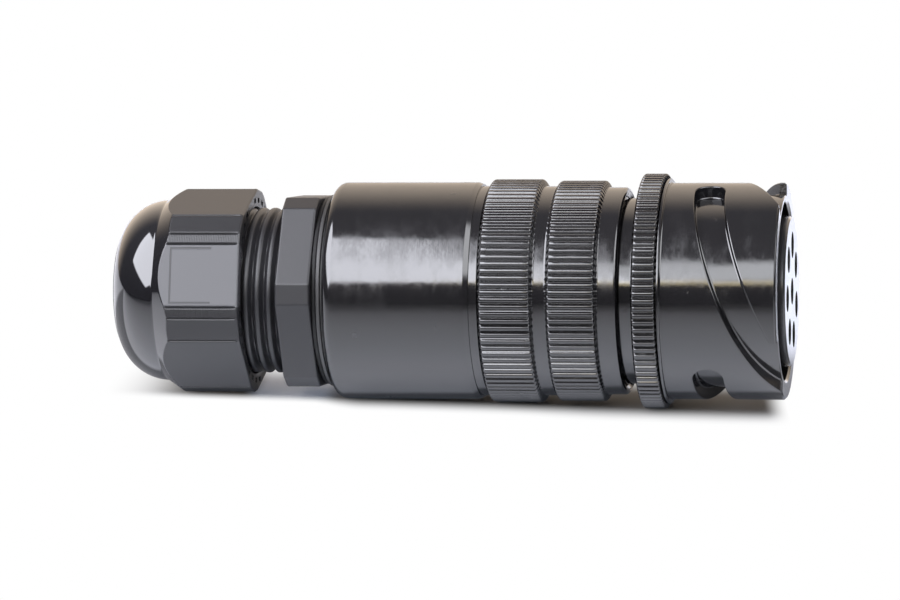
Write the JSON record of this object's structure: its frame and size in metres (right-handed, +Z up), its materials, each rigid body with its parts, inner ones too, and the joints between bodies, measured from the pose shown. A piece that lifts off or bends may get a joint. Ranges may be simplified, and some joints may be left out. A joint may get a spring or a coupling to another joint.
{
  "type": "bayonet circular connector",
  "caption": "In-line cable connector half with three bayonet grooves, knurled metal shells, socket insert and a dome-nut cable gland.",
  "frame": {"origin": "on the connector's axis, in the plane of the front shell's front edge", "axes": "+X along the axis, out of the mating face; +Z up, with the connector lying on its side"},
  "size_m": [0.1182, 0.0408, 0.0408],
  "materials": {
    "black_coat": "gloss",
    "insert_polymer": "satin",
    "contact_brass": "satin",
    "clip_steel": "satin",
    "grommet_rubber": "matte",
    "seal_rubber": "matte",
    "ring_polymer": "satin",
    "gland_polyamide": "satin",
    "cage_polyamide": "satin",
    "cap_polyamide": "satin"
  },
  "bodies": {
    "front": {"front_shell": "black_coat", "socket_insert": "insert_polymer", "socket_1": "contact_brass", "socket_2": "contact_brass", "socket_3": "contact_brass", "socket_4": "contact_brass", "socket_5": "contact_brass", "socket_6": "contact_brass", "socket_7": "contact_brass", "socket_8": "contact_brass", "insert_clip": "clip_steel", "rear_grommet": "grommet_rubber", "neck_o_ring": "seal_rubber"},
    "follower": {"thrust_ring": "ring_polymer"},
    "backshell": {"knurled_sleeve": "black_coat", "rear_barrel": "black_coat", "barrel_o_ring": "seal_rubber", "gland_gasket": "seal_rubber", "gland_body": "gland_polyamide"},
    "seal": {"clamp_cage": "cage_polyamide", "seal_bush": "seal_rubber"},
    "cap": {"cap_nut": "cap_polyamide"}
  },
  "joints": [
    {"name": "backshell_travel", "type": "slide", "parent": "front", "child": "follower", "axis": [-1, 0, 0], "range_m": [0, 0.0042]},
    {"name": "backshell_turn", "type": "hinge", "parent": "follower", "child": "backshell", "pos_m": [-0.045, 0, 0], "axis": [-1, 0, 0], "range_deg": [0, 1080]},
    {"name": "seal_travel", "type": "slide", "parent": "backshell", "child": "seal", "axis": [1, 0, 0], "range_m": [-0.0041, 0.0041]},
    {"name": "cap_turn", "type": "hinge", "parent": "seal", "child": "cap", "pos_m": [-0.1, 0, 0], "axis": [1, 0, 0], "range_deg": [-720, 720]}
  ],
  "couplings": [
    {"joint": "backshell_travel", "follows": "backshell_turn", "m_per_rad": 0.0002228},
    {"joint": "seal_travel", "follows": "cap_turn", "m_per_rad": 0.00032627}
  ]
}
